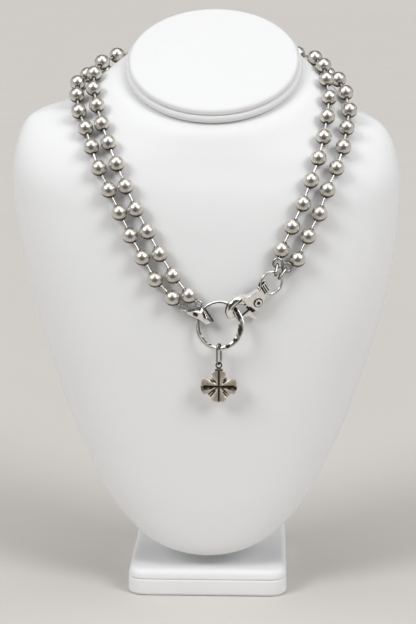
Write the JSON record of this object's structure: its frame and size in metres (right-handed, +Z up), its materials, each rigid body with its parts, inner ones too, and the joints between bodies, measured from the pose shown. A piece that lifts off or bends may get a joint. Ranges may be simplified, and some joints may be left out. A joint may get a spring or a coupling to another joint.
{
  "type": "ball chain necklace on a neck bust",
  "caption": "Two-strand necklace of silver balls on bars with a front ring, hook clasp and hanging cross charm, worn by a plain covered neck bust on a flat foot.",
  "frame": {"origin": "centre of the foot's underside", "axes": "-Y to the front, where the chest faces; +Z up the bust; +X to the viewer's right as seen from the front"},
  "size_m": [0.1998, 0.1108, 0.2973],
  "materials": {
    "white_cover": "smooth matt white covering",
    "satin_silver": "satin silver",
    "polished_silver": "polished silver",
    "wire_silver": "polished silver wire",
    "antique_silver": "antique silver, dark in its grooves"
  },
  "bodies": {
    "bust_and_necklace": {"bust_form": "white_cover", "neck_cap": "white_cover", "foot_block": "white_cover", "inner_ball_01": "satin_silver", "inner_ball_02": "satin_silver", "inner_ball_03": "satin_silver", "inner_ball_04": "satin_silver", "inner_ball_05": "satin_silver", "inner_ball_06": "satin_silver", "inner_ball_07": "satin_silver", "inner_ball_08": "satin_silver", "inner_ball_09": "satin_silver", "inner_ball_10": "satin_silver", "inner_ball_11": "satin_silver", "inner_ball_12": "satin_silver", "inner_ball_13": "satin_silver", "inner_ball_14": "satin_silver", "inner_ball_15": "satin_silver", "inner_ball_16": "satin_silver", "inner_ball_17": "satin_silver", "inner_ball_18": "satin_silver", "outer_ball_01": "satin_silver", "outer_ball_02": "satin_silver", "outer_ball_03": "satin_silver", "outer_ball_04": "satin_silver", "outer_ball_05": "satin_silver", "outer_ball_06": "satin_silver", "outer_ball_07": "satin_silver", "outer_ball_08": "satin_silver", "outer_ball_09": "satin_silver", "outer_ball_10": "satin_silver", "outer_ball_11": "satin_silver", "outer_ball_12": "satin_silver", "outer_ball_13": "satin_silver", "outer_ball_14": "satin_silver", "outer_ball_15": "satin_silver", "outer_ball_16": "satin_silver", "outer_ball_17": "satin_silver", "outer_ball_18": "satin_silver", "inner_nape_run": "satin_silver", "outer_nape_run": "satin_silver", "large_ring": "polished_silver", "clasp_body": "polished_silver", "clasp_rivet": "polished_silver", "leaf_bail": "polished_silver", "inner_bars": "wire_silver", "outer_bars": "wire_silver", "left_inner_eye": "wire_silver", "left_outer_eye": "wire_silver", "right_inner_eye": "wire_silver", "right_outer_eye": "wire_silver", "jump_ring": "wire_silver", "right_inner_link": "wire_silver", "right_outer_link": "wire_silver"},
    "lever": {"clasp_lever": "polished_silver"},
    "bail": {"bail": "wire_silver"},
    "cross_charm": {"charm": "antique_silver"}
  },
  "joints": [
    {"name": "clasp_lever_hinge", "type": "hinge", "parent": "bust_and_necklace", "child": "lever", "pos_m": [0.0247, -0.0556, 0.1564], "axis": [-0.3969, 0.8698, 0.2929], "range_deg": [0, 7], "stiffness_Nm_per_rad": 0.004, "springref_deg": -11.46},
    {"name": "bail_swing", "type": "hinge", "parent": "bust_and_necklace", "child": "bail", "pos_m": [0.00642, -0.06041, 0.13299], "axis": [-0.9063, 0.4226, 0], "range_deg": [-6, 80]},
    {"name": "charm_swing", "type": "hinge", "parent": "bail", "child": "cross_charm", "pos_m": [0.00642, -0.06041, 0.12504], "axis": [0.4226, 0.9063, 0], "range_deg": [-50, 25]}
  ]
}
